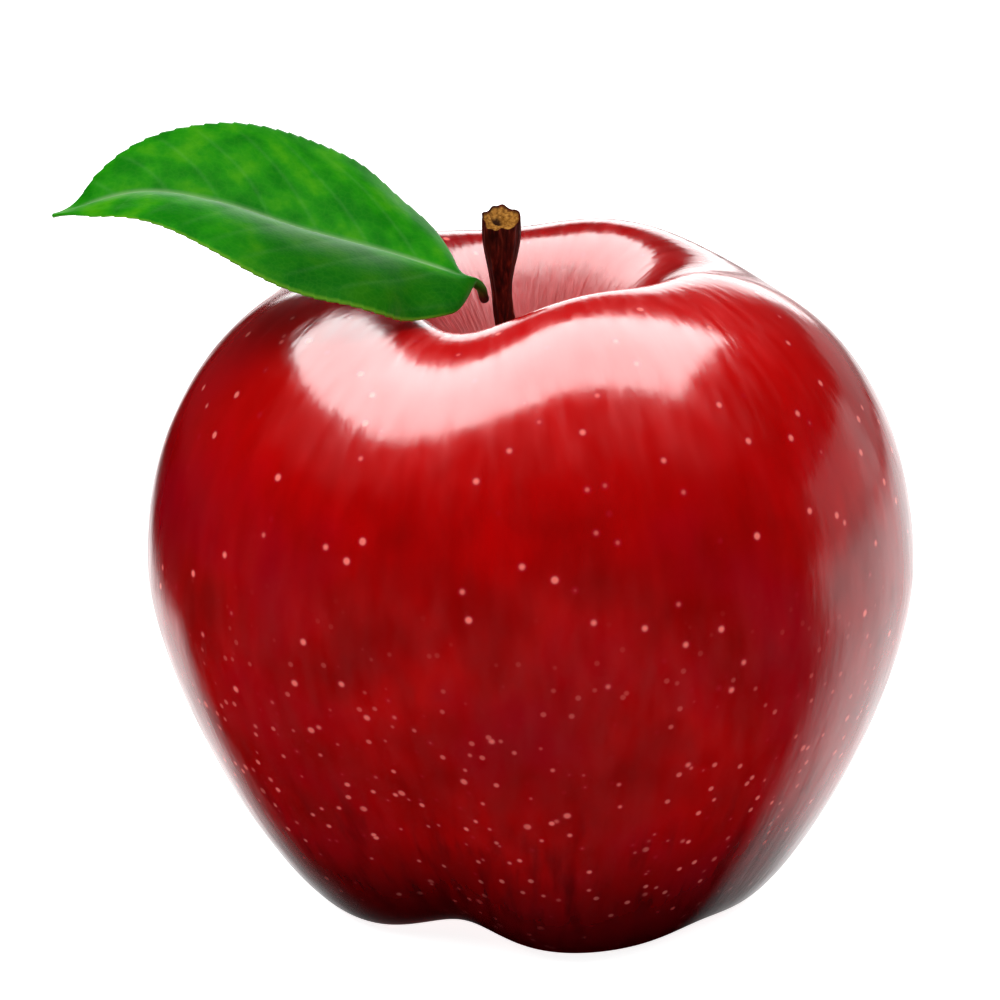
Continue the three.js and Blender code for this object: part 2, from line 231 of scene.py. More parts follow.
def piece(name, node, material, skins, marks=None):
    """One object from closed skins, laid into the box of its CAD node, riding on the root body.

    The points are stretched along each axis and moved so that their own box becomes the node's.
    That is up to 1.3 percent on the fruit, the stem and the leaf, and up to 17 percent on the
    small sepals and 8 on the tuft, whose finer forms have other boxes than the plain CAD ones.
    marks are named values for each point, for the material.
    """
    points = np.concatenate([skin[0] for skin in skins])
    low, high = (np.array(corner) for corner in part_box(node))
    own_low, own_high = points.min(axis=0), points.max(axis=0)
    points = low + (points - own_low) * (high - low) / (own_high - own_low)
    faces = []
    start = 0
    for skin_points, quads, triangles in skins:
        faces += (quads + start).tolist() + (triangles + start).tolist()
        start += len(skin_points)
    mesh = bpy.data.meshes.new(name)
    mesh.from_pydata(points.tolist(), [], faces)
    mesh.polygons.foreach_set("use_smooth", np.ones(len(faces), bool))
    for mark, values in (marks or {}).items():
        kind, field = ("FLOAT", "value") if values.ndim == 1 else ("FLOAT_VECTOR", "vector")
        attribute = mesh.attributes.new(mark, kind, "POINT")
        attribute.data.foreach_set(field, values.astype(np.float32).ravel())
    mesh.materials.append(material)
    mesh.update()
    made = bpy.data.objects.new(name, mesh)
    bpy.context.scene.collection.objects.link(made)
    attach(made, "root")
    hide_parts(node)
    return made


# ---- Materials ----
def linear(colour):
    """An sRGB hex colour as linear red, green, blue and alpha."""
    parts = [int(colour[place : place + 2], 16) / 255 for place in (0, 2, 4)]
    parts = [c / 12.92 if c <= 0.04045 else ((c + 0.055) / 1.055) ** 2.4 for c in parts]
    return (*parts, 1.0)


def per(size):
    """The scale of a pattern whose cells are so many millimetres wide, on coordinates in metres."""
    return 1000 / size


def add(tree, kind, inputs=None, stops=None, **settings):
    """Adds a node: settings are its properties, inputs its values or the sockets linked to them."""
    made = tree.nodes.new(kind)
    for name, value in settings.items():
        setattr(made, name, value)
    for name, value in (inputs or {}).items():
        if isinstance(value, bpy.types.NodeSocket):
            tree.links.new(value, made.inputs[name])
        else:
            made.inputs[name].default_value = value
    if stops:
        ramp = made.color_ramp.elements
        while len(ramp) < len(stops):
            ramp.new(0.5)
        for element, (position, colour) in zip(ramp, stops):
            element.position = position
            element.color = colour
    return made


def new_material(name):
    """An empty node material with its output node."""
    material = bpy.data.materials.new(name)
    material.use_nodes = True
    material.node_tree.nodes.clear()
    return material, material.node_tree, add(material.node_tree, "ShaderNodeOutputMaterial")


def waxed_apple_skin():
    """Ripe red apple skin, grown and rubbed to a shine.

    To the eye: a deep clear red with brighter and darker flecks that run from stem to flower,
    small pale dots (lenticels), sparse above and dense below, tan russet in the two hollows,
    and a waxy gloss whose reflections are soft and slightly streaked.
    """
    material, tree, output = new_material("waxed_apple_skin")
    place = add(tree, "ShaderNodeTexCoord").outputs["Object"]
    way = add(tree, "ShaderNodeAttribute", attribute_name="way").outputs["Vector"]
    hollow = add(tree, "ShaderNodeAttribute", attribute_name="hollow").outputs["Fac"]
    lower = add(tree, "ShaderNodeAttribute", attribute_name="lower").outputs["Fac"]
    # foot: painted shade on the outer flank close to the table.
    foot = add(tree, "ShaderNodeAttribute", attribute_name="foot").outputs["Fac"]
    dull = add(tree, "ShaderNodeAttribute", attribute_name="dull").outputs["Fac"]
    painted_lit_shoulders = add(tree, "ShaderNodeAttribute", attribute_name="painted_lit_shoulders").outputs["Fac"]

    # Clouds of 9 mm, and soft flecks that are 2.5 mm wide at the equator and about two and a half
    # times as long.
    clouds = add(tree, "ShaderNodeTexNoise", {"Vector": place, "Scale": per(9), "Detail": 2})
    flecks = add(tree, "ShaderNodeTexNoise", {"Vector": way, "Scale": 16, "Detail": 3})
    mottled = add(
        tree,
        "ShaderNodeMix",
        {"Factor": 0.3, "A": clouds.outputs["Fac"], "B": flecks.outputs["Fac"]},
    )
    red = add(
        tree,
        "ShaderNodeValToRGB",
        {"Fac": mottled.outputs["Result"]},
        stops=[(0.34, linear("8a0000")), (0.5, linear("9e0001")), (0.66, linear("b60001"))],
    )
    # Crimson patches of 18 mm, where the skin is a little cooler.
    patches = add(tree, "ShaderNodeTexNoise", {"Vector": place, "Scale": per(18), "Detail": 3})
    cooler = add(
        tree,
        "ShaderNodeMapRange",
        {"Value": patches.outputs["Fac"], "From Min": 0.5, "From Max": 0.7, "To Max": 0.6},
        interpolation_type="SMOOTHSTEP",
    )
    colour = add(
        tree,
        "ShaderNodeMix",
        {"Factor": cooler.outputs["Result"], 6: red.outputs["Color"], 7: linear("8a0014")},
        data_type="RGBA",
    ).outputs[2]

    # Painted light: the upper shoulders towards the front are a brighter scarlet, as if lit from above.
    colour = add(
        tree,
        "ShaderNodeMix",
        {"Factor": painted_lit_shoulders, 6: colour, 7: linear("dc0403")},
        data_type="RGBA",
    ).outputs[2]

    # Dots: the skin cuts through loosely packed balls, so that no two dots are the same size.
    # Each has a wide faint halo and a bright middle.
    for cell, radius, reach in ((3.5, 0.68, (1.0, 0.5)), (1.95, 0.54, (0.0, 1.0))):
        balls = add(tree, "ShaderNodeTexVoronoi", {"Vector": place, "Scale": per(cell)})
        share = add(
            tree, "ShaderNodeMapRange", {"Value": lower, "To Min": reach[0], "To Max": reach[1]}
        )
        for edge, core, strength, tint in ((1.0, 0.5, 0.5, "b8182e"), (0.7, 0.3, 1.0, "ff7a70")):
            dot = add(
                tree,
                "ShaderNodeMapRange",
                {
                    "Value": balls.outputs["Distance"],
                    "From Min": edge * radius / cell,
                    "From Max": core * radius / cell,
                    "To Max": strength,
                },
                interpolation_type="SMOOTHSTEP",
            )
            bright = add(
                tree,
                "ShaderNodeMath",
                {0: dot.outputs["Result"], 1: share.outputs["Result"]},
                operation="MULTIPLY",
            )
            mixed = add(
                tree,
                "ShaderNodeMix",
                {"Factor": bright.outputs[0], 6: colour, 7: linear(tint)},
                data_type="RGBA",
            )
            colour = mixed.outputs[2]

    # Painted shade: dark flecks that thicken towards the bottom, and a maroon that deepens to nearly
    # black at the foot, as shade close to the table.
    painted_low_shade = add(
        tree,
        "ShaderNodeMapRange",
        {"Value": flecks.outputs["Fac"], "From Min": 0.42, "From Max": 0.74, "To Max": 0.75},
        interpolation_type="SMOOTHSTEP",
    )
    low = add(tree, "ShaderNodeMath", {0: lower, 1: 3.0}, operation="POWER")
    painted_low_shade = add(
        tree, "ShaderNodeMath", {0: painted_low_shade.outputs["Result"], 1: low.outputs[0]}, operation="MULTIPLY"
    )
    colour = add(
        tree,
        "ShaderNodeMix",
        {"Factor": painted_low_shade.outputs[0], 6: colour, 7: linear("4a0002")},
        data_type="RGBA",
    ).outputs[2]
    colour = add(
        tree,
        "ShaderNodeMix",
        {"Factor": foot, 6: colour, 7: linear("260003")},
        data_type="RGBA",
    ).outputs[2]

    # Russet: a corky tan in the depth of the two hollows, its edge drawn out along the flecks.
    cork = add(tree, "ShaderNodeTexNoise", {"Vector": place, "Scale": per(1.6), "Detail": 4})
    ragged = add(
        tree,
        "ShaderNodeMix",
        {"Factor": 0.5, "A": cork.outputs["Fac"], "B": flecks.outputs["Fac"]},
    )
    broken = add(tree, "ShaderNodeMath", {0: hollow, 1: ragged.outputs["Result"]}, operation="ADD")
    tan = add(
        tree,
        "ShaderNodeMapRange",
        {"Value": broken.outputs[0], "From Min": 1.15, "From Max": 1.45},
        interpolation_type="SMOOTHSTEP",
    )
    colour = add(
        tree,
        "ShaderNodeMix",
        {"Factor": tan.outputs["Result"], 6: colour, 7: linear("8a5a35")},
        data_type="RGBA",
    ).outputs[2]

    # Gloss: a little streaked along the flecks, satin in the cavity and dull where it is corky.
    streaks = add(tree, "ShaderNodeTexNoise", {"Vector": way, "Scale": 22, "Detail": 2})
    gloss = add(
        tree,
        "ShaderNodeMapRange",
        {
            "Value": streaks.outputs["Fac"],
            "From Min": 0.3,
            "From Max": 0.7,
            "To Min": 0.12,
            "To Max": 0.22,
        },
    )
    satin = add(tree, "ShaderNodeMix", {"Factor": dull, "A": gloss.outputs["Result"], "B": 0.4})
    rough = add(
        tree,
        "ShaderNodeMix",
        {"Factor": tan.outputs["Result"], "A": satin.outputs["Result"], "B": 0.65},
    )
    # Waves of 3 mm, ribs along the flecks that stand out most in the cavity, and pores of 0.4 mm.
    pores = add(tree, "ShaderNodeTexNoise", {"Vector": place, "Scale": per(0.4), "Detail": 2})
    waves = add(tree, "ShaderNodeTexNoise", {"Vector": place, "Scale": per(3), "Detail": 2})
    wavy = add(
        tree,
        "ShaderNodeBump",
        {"Height": waves.outputs["Fac"], "Strength": 0.07, "Distance": 0.0003},
    )
    ribs = add(tree, "ShaderNodeMapRange", {"Value": dull, "To Min": 0.16, "To Max": 0.6})
    ribbed = add(
        tree,
        "ShaderNodeBump",
        {
            "Height": streaks.outputs["Fac"],
            "Strength": ribs.outputs["Result"],
            "Distance": 0.00022,
            "Normal": wavy.outputs[0],
        },
    )
    bump = add(
        tree,
        "ShaderNodeBump",
        {
            "Height": pores.outputs["Fac"],
            "Strength": 0.04,
            "Distance": 0.00004,
            "Normal": ribbed.outputs[0],
        },
    )
    shader = add(
        tree,
        "ShaderNodeBsdfPrincipled",
        {
            "Base Color": colour,
            "Roughness": rough.outputs["Result"],
            "IOR": 1.47,
            "Normal": bump.outputs[0],
        },
    )
    tree.links.new(shader.outputs[0], output.inputs["Surface"])
    return material


def fresh_apple_leaf():
    """A fresh leaf of an apple tree, thick and slightly waxy above, paler and dull below.

    To the eye: a saturated green, pale thin veins with a fine net between them, a yellowish
    margin, and a broad greyish sheen. Its stalk goes from green to brown at the stem.
    """
    material, tree, output = new_material("fresh_apple_leaf")
    place = add(tree, "ShaderNodeTexCoord").outputs["Object"]
    vein = add(tree, "ShaderNodeAttribute", attribute_name="vein").outputs["Fac"]
    under = add(tree, "ShaderNodeAttribute", attribute_name="under").outputs["Fac"]
    margin = add(tree, "ShaderNodeAttribute", attribute_name="margin").outputs["Fac"]
    woody = add(tree, "ShaderNodeAttribute", attribute_name="woody").outputs["Fac"]
    deep = add(tree, "ShaderNodeAttribute", attribute_name="deep").outputs["Fac"]
    blotches = add(tree, "ShaderNodeTexNoise", {"Vector": place, "Scale": per(3.5), "Detail": 5})
    green = add(
        tree,
        "ShaderNodeValToRGB",
        {"Fac": blotches.outputs["Fac"]},
        stops=[(0.35, linear("0a7a00")), (0.5, linear("1e8e00")), (0.66, linear("409e00"))],
    )
    # Painted shade: the near half is a darker green towards its foot, where the blade turns down away
    # from the light.
    painted_shade_green = add(
        tree,
        "ShaderNodeMix",
        {"Factor": deep, 6: green.outputs["Color"], 7: linear("005000")},
        data_type="RGBA",
    )
    # The fine net of veins has meshes of 0.7 mm.
    net = add(
        tree,
        "ShaderNodeTexVoronoi",
        {"Vector": place, "Scale": per(0.7)},
        feature="DISTANCE_TO_EDGE",
    )
    lines = add(
        tree,
        "ShaderNodeMapRange",
        {
            "Value": net.outputs["Distance"],
            "From Min": 0.0,
            "From Max": 0.12,
            "To Min": 0.07,
            "To Max": 0.0,
        },
    )
    colour = add(
        tree,
        "ShaderNodeMix",
        {"Factor": lines.outputs["Result"], 6: painted_shade_green.outputs[2], 7: linear("5fae2e")},
        data_type="RGBA",
    ).outputs[2]
    # Veins, the margin, the paler underside and the brown foot of its stalk.
    tints = (
        (vein, 0.6, "9cc488"),
        (margin, 0.7, "8cc030"),
        (under, 0.6, "8fae74"),
        (woody, 1.0, "2c0d08"),
    )
    for share, most, tint in tints:
        strength = add(tree, "ShaderNodeMath", {0: share, 1: most}, operation="MULTIPLY")
        colour = add(
            tree,
            "ShaderNodeMix",
            {"Factor": strength.outputs[0], 6: colour, 7: linear(tint)},
            data_type="RGBA",
        ).outputs[2]
    rough = add(tree, "ShaderNodeMapRange", {"Value": under, "To Min": 0.5, "To Max": 0.75})
    bump = add(
        tree,
        "ShaderNodeBump",
        {"Height": net.outputs["Distance"], "Strength": 0.25, "Distance": 0.00008},
    )
    shader = add(
        tree,
        "ShaderNodeBsdfPrincipled",
        {
            "Base Color": colour,
            "Roughness": rough.outputs["Result"],
            "IOR": 1.45,
            "Specular IOR Level": 0.22,
            "Normal": bump.outputs[0],
        },
    )
    tree.links.new(shader.outputs[0], output.inputs["Surface"])
    return material


def stalk_bark():
    """The bark of a ripe apple's stalk, thin and dry, over its pale broken wood.

    To the eye: a very dark red-brown with lighter ridges along it, and at the broken end tan
    fibres round a pit painted dark brown, as painted shade in the hollow.
    """
    material, tree, output = new_material("stalk_bark")
    place = add(tree, "ShaderNodeTexCoord").outputs["Object"]
    cut = add(tree, "ShaderNodeAttribute", attribute_name="cut").outputs["Fac"]
    pit_shade = add(tree, "ShaderNodeAttribute", attribute_name="pit_shade").outputs["Fac"]
    # Ridges of 0.35 mm, drawn out five times along the stalk.
    stretched = add(tree, "ShaderNodeMapping", {"Vector": place, "Scale": (1, 1, 0.2)})
    ridges = add(
        tree, "ShaderNodeTexNoise", {"Vector": stretched.outputs[0], "Scale": per(0.35), "Detail": 4}
    )
    bark = add(
        tree,
        "ShaderNodeValToRGB",
        {"Fac": ridges.outputs["Fac"]},
        stops=[(0.35, linear("240503")), (0.55, linear("451009")), (0.75, linear("7a2a1c"))],
    )
    fibres = add(tree, "ShaderNodeTexNoise", {"Vector": place, "Scale": per(0.3), "Detail": 4})
    wood = add(
        tree,
        "ShaderNodeValToRGB",
        {"Fac": fibres.outputs["Fac"]},
        stops=[(0.35, linear("6b4215")), (0.5, linear("a06a28")), (0.7, linear("c08a40"))],
    )
    colour = bark.outputs["Color"]
    # Tan wood on the broken end, and painted shade: dark brown in its pit.
    for share, tint in ((cut, wood.outputs["Color"]), (pit_shade, linear("3a2214"))):
        colour = add(
            tree, "ShaderNodeMix", {"Factor": share, 6: colour, 7: tint}, data_type="RGBA"
        ).outputs[2]
    bump = add(
        tree,
        "ShaderNodeBump",
        {"Height": ridges.outputs["Fac"], "Strength": 0.6, "Distance": 0.0001},
    )
    shader = add(
        tree,
        "ShaderNodeBsdfPrincipled",
        {
            "Base Color": colour,
            "Roughness": 0.62,
            "IOR": 1.5,
            "Specular IOR Level": 0.15,
            "Normal": bump.outputs[0],
        },
    )
    tree.links.new(shader.outputs[0], output.inputs["Surface"])
    return material


def dried_flower():
    """Sepals and stamens that dried on the fruit: papery, brittle and a little hairy.

    To the eye: dull greyish brown, darker and lighter in patches, with no gloss at all.
    """
    material, tree, output = new_material("dried_flower")
    place = add(tree, "ShaderNodeTexCoord").outputs["Object"]
    patches = add(tree, "ShaderNodeTexNoise", {"Vector": place, "Scale": per(0.8), "Detail": 5})
    brown = add(
        tree,
        "ShaderNodeValToRGB",
        {"Fac": patches.outputs["Fac"]},
        stops=[(0.3, linear("32200f")), (0.5, linear("5f4527")), (0.72, linear("8d7550"))],
    )
    bump = add(
        tree,
        "ShaderNodeBump",
        {"Height": patches.outputs["Fac"], "Strength": 0.5, "Distance": 0.0001},
    )
    shader = add(
        tree,
        "ShaderNodeBsdfPrincipled",
        {
            "Base Color": brown.outputs["Color"],
            "Roughness": 0.85,
            "IOR": 1.45,
            "Sheen Weight": 0.25,
            "Normal": bump.outputs[0],
        },
    )
    tree.links.new(shader.outputs[0], output.inputs["Surface"])
    return material


# ---- The fruit ----
def furrow_sum(angle, sharpness):
    """The furrows at angles round the core: the sum of depth * exp(sharpness * (cos(away) - 1))."""
    return sum(
        depth * np.exp(sharpness * (np.cos(angle - math.radians(azimuth)) - 1))
        for azimuth, depth in FURROWS
    )


def fruit_section():
    """Radius, height and stage of the half section, from the basin floor over to the socket.

    Four cubic Bezier curves, joined where the section is level or upright. The stage is 0 on the
    basin floor, 1 at the lobes, 2 at the equator, 3 on the shoulders and 4 on the cavity floor.
    """
    inside, outside = BASE_RADIUS - FLAT_WIDTH / 2, BASE_RADIUS + FLAT_WIDTH / 2
    waist, crest = (EQUATOR_RADIUS, EQUATOR_HEIGHT), (SHOULDER_RADIUS, SHOULDER_HEIGHT)
    curves = (
        (
            (BASIN_FLOOR_RADIUS, BASIN_DEPTH),
            (BASIN_FLOOR_RADIUS + BASIN_HANDLES[0], BASIN_DEPTH),
            (inside - BASIN_HANDLES[1], -FLAT_DEPTH),
            (inside, -FLAT_DEPTH),
        ),
        (
            (outside, -FLAT_DEPTH),
            (outside + FLANK_HANDLES[0], -FLAT_DEPTH),
            (waist[0], waist[1] - FLANK_HANDLES[1]),
            waist,
        ),
        (
            waist,
            (waist[0], waist[1] + SHOULDER_HANDLES[0]),
            (crest[0] + SHOULDER_HANDLES[1], crest[1]),
            crest,
        ),
        (
            crest,
            (crest[0] - CAVITY_HANDLES[0], crest[1]),
            (SOCKET_RADIUS + CAVITY_HANDLES[1], CAVITY_FLOOR + CAVITY_FLOOR_RISE),
            (SOCKET_RADIUS, CAVITY_FLOOR),
        ),
    )
    rows = [[0, BASIN_DEPTH, 0], [BASIN_FLOOR_RADIUS / 2, BASIN_DEPTH, 0]]
    for stage, (corners, steps) in enumerate(zip(curves, (30, 70, 56, 50))):
        t = np.linspace(0, 1, steps + 1)[:, None]
        a, b, c, d = (np.array(corner) for corner in corners)
        curve = (1 - t) ** 3 * a + 3 * (1 - t) ** 2 * t * b + 3 * (1 - t) * t**2 * c + t**3 * d
        rows += np.hstack([curve, stage + t])[1 if stage > 1 else 0 :].tolist()
        if stage == 0:
            rows += [[radius, -FLAT_DEPTH, 1] for radius in np.linspace(inside, outside, 4)[1:-1]]
    socket_floor = CAVITY_FLOOR - SOCKET_DEPTH
    rows += [[SOCKET_RADIUS, height, 4] for height in (CAVITY_FLOOR - 0.1, socket_floor)]
    rows.append([0, socket_floor, 4])
    return np.array(rows).T


def fruit_rings(around):
    """The fruit's skin: the half section turned round the core.

    The furrows narrow it, lower the shoulders and lift the base. The whole leans, more with
    height, and is cut level at the table. Ripples of a few hundredths of a millimetre lie on
    it, along its normals.
    """
    radius, height, stage = (row[:, None] for row in fruit_section())
    angle = np.arange(around)[None, :] * 2 * np.pi / around
    wide, narrow = furrow_sum(angle, SHOULDER_SHARPNESS), furrow_sum(angle, BASE_SHARPNESS)
    at_shoulders = bell(stage, 2, 3, 4) * wide
    at_equator = bell(stage, 1, 2, 3) * wide
    at_base = bell(stage, 0, 1, 2.3) * narrow
    pinch = SHOULDER_PINCH * at_shoulders + EQUATOR_PINCH * at_equator + BASE_PINCH * at_base
    x = radius * (1 - pinch) * np.cos(angle)
    y = radius * (1 - pinch) * np.sin(angle)
    z = height - SHOULDER_DIP * at_shoulders + BASE_LIFT * at_base
    core = core_at(z)
    slope = x * math.sin(math.radians(LEAN_ACROSS)) + y * math.sin(math.radians(LEAN_FORWARD))
    level = z - slope * np.maximum(z, 0) / SHOULDER_HEIGHT
    rings = np.stack([x + core[0], y + core[1], np.maximum(level, 0)], axis=-1)
    upward = np.gradient(rings, axis=0)
    sideways = np.roll(rings, -1, axis=1) - np.roll(rings, 1, axis=1)
    normal = np.cross(sideways, upward)
    normal /= np.maximum(np.linalg.norm(normal, axis=-1, keepdims=True), 1e-9)
    free = smoothstep(rings[..., 2], 0.5, 6) * (1 - smoothstep(stage, 3.8, 4))
    rings += normal * (ripples(rings, RIPPLE_LENGTHS, RIPPLE_HEIGHT, seed=5) * free)[..., None]
    return rings, angle, stage + 0 * angle


def fruit_piece():
    """The fruit, with the marks that its material reads.

    They are the way of the flecks, the two hollows, the lower half, the painted shade at the foot, the
    dull cavity and the painted light on the upper shoulders.
    """
    rings, angle, stage = fruit_rings(around=320)
    angle = angle + 0 * stage
    way = np.stack([np.cos(angle), np.sin(angle), 0.4 * stage], axis=-1)
    hollow = np.maximum(1 - smoothstep(stage, 0, 0.6), smoothstep(stage, 3.2, 3.95))
    height = rings[..., 2]
    lower = 1 - smoothstep(height, *LOWER_HEIGHTS)
    # Painted shade: near-black on the outer flank close to the table, fading out by 18 mm up.
    foot = 0.92 * (1 - smoothstep(height, *PAINTED_FOOT_SHADE_HEIGHTS)) * smoothstep(stage, 1.0, 1.12)
    dull = smoothstep(stage, 3.12, 3.5)
    # Painted light: brighter scarlet on the upper shoulders, strongest towards the front.
    painted_lit_shoulders = 0.6 * smoothstep(height, *PAINTED_LIGHT_HEIGHTS) * (1 - smoothstep(stage, 3, 3.3))
    painted_lit_shoulders *= smoothstep(np.cos(angle - math.radians(PAINTED_LIGHT_AZIMUTH)), -0.3, 0.6)
    marks = {"way": way, "hollow": hollow, "lower": lower, "foot": foot, "dull": dull, "painted_lit_shoulders": painted_lit_shoulders}
    marks = {name: per_point(values) for name, values in marks.items()}
    return piece("apple_skin", "fruit", waxed_apple_skin(), [ring_skin(rings)], marks)


# ---- The stem ----
def stem_corners():
    """The points that the middle of the stem passes, from its foot in the socket to its top."""
    foot, mouth = core_at(CAVITY_FLOOR - SOCKET_DEPTH + CLEARANCE), core_at(CAVITY_FLOOR)
    neck = core_at(CAVITY_FLOOR + STEM_NECK_HEIGHT)
    top_height = SHOULDER_HEIGHT + STEM_ABOVE_SHOULDERS
    top = np.array([mouth[0] + STEM_SWAY[0], mouth[1] + STEM_SWAY[1], top_height])
    elbow = np.array([top[0] + 0.4, 0.7 * top[1], (CAVITY_FLOOR + top_height) / 2])
    return [foot, mouth, neck, elbow, top]


def stem_radius(share):
    """Radius of the stem at a share of its length: slim, then swelling to the knob."""
    return STEM_RADIUS + (STEM_KNOB_RADIUS - STEM_RADIUS) * smoothstep(share, 0.66, 0.94)


def stem_piece():
    """The stem: rings along its line, ridged along it, with a slanting broken end.

    The last rings run inwards over the end: a rim, a shallow dish of fibres and a pit in the middle,
    which is painted dark as painted shade. Each ring's radius is the stem's times 1 plus ridges, which
    are two sine waves round it whose phase drifts along the stem.
    """
    around = 72
    shares = np.linspace(0, 1, 90)
    inward = np.array([0.985, 0.93, 0.84, 0.7, 0.55, 0.42, 0.34, 0.26, 0.14, 0.0])
    sunk = np.array([-0.06, 0.03, 0.16, 0.22, 0.24, 0.26, 0.42, 0.72, 0.8, 0.8])
    share = np.concatenate([[0], shares, np.ones(len(inward))])[:, None]
    shrink = np.concatenate([[0], np.ones(len(shares)), inward])[:, None]
    dish = np.concatenate([[0], np.zeros(len(shares)), sunk])[:, None]
    angle = np.arange(around)[None, :] * 2 * np.pi / around
    line, along = course(stem_corners(), share[:, 0])
    across = unit(np.array([1.0, 0, 0]) - along * along[:, :1])
    forward = np.cross(along, across)
    free = smoothstep(share, 0.3, 0.4)
    ridges = 0.05 * np.sin(5 * angle + 7 * share) + 0.03 * np.sin(11 * angle - 9 * share)
    knots = 0.06 * np.sin(2 * angle + 1.2 + 13 * share)
    radius = stem_radius(share) * shrink * (1 + free * (ridges + knots))
    side, front = radius * np.cos(angle), radius * np.sin(angle)
    ragged = 0.12 * np.sin(4 * angle + 0.7) + 0.08 * np.sin(9 * angle + 2.1)
    slant = front * math.tan(math.radians(STEM_CUT_ANGLE)) * smoothstep(share, 0.8, 1)
    lift = slant - dish + ragged * smoothstep(share, 0.97, 1) * (shrink > 0.8)
    rings = (
        line[:, None]
        + side[..., None] * across[:, None]
        + front[..., None] * forward[:, None]
        + lift[..., None] * along[:, None]
    )
    cut = (dish > 0.1) + 0 * angle
    hollow = np.exp(-(((side + 0.45) / 0.65) ** 2) - ((front - 0.3) / 0.5) ** 2) * cut
    rings -= 0.5 * hollow[..., None] * along[:, None]
    # The pit is painted dark brown: painted shade in the hollow.
    pit_shade = smoothstep(hollow, 0.35, 0.75)
    marks = {"cut": per_point(cut), "pit_shade": per_point(pit_shade)}
    return piece("woody_stem", "stem", stalk_bark(), [ring_skin(rings)], marks)


# ---- The leaf ----
def leaf_node():
    """Where the petiole springs: beside the stem at its height, off to -X by both radii and the gap."""
    shares = np.linspace(0, 1, 501)
    line, _ = course(stem_corners(), shares)
    place = np.argmax(line[:, 2] >= SHOULDER_HEIGHT - LEAF_BELOW_SHOULDERS)
    beside = stem_radius(shares[place]) + CLEARANCE + PETIOLE_RADIUS
    return line[place] - np.array([beside, 0, 0])


def leaf_half_width(share, near):
    """Half width at a share of the blade: share^rise * (1 - share)^fall, scaled to the widest."""
    rise, fall = LEAF_OUTLINE_NEAR if near else LEAF_OUTLINE_FAR
    widest = rise / (rise + fall)
    share = np.clip(share, 0, 1)
    outline = share**rise * (1 - share) ** fall
    return 0.5 * LEAF_WIDTH * outline / (widest**rise * (1 - widest) ** fall)


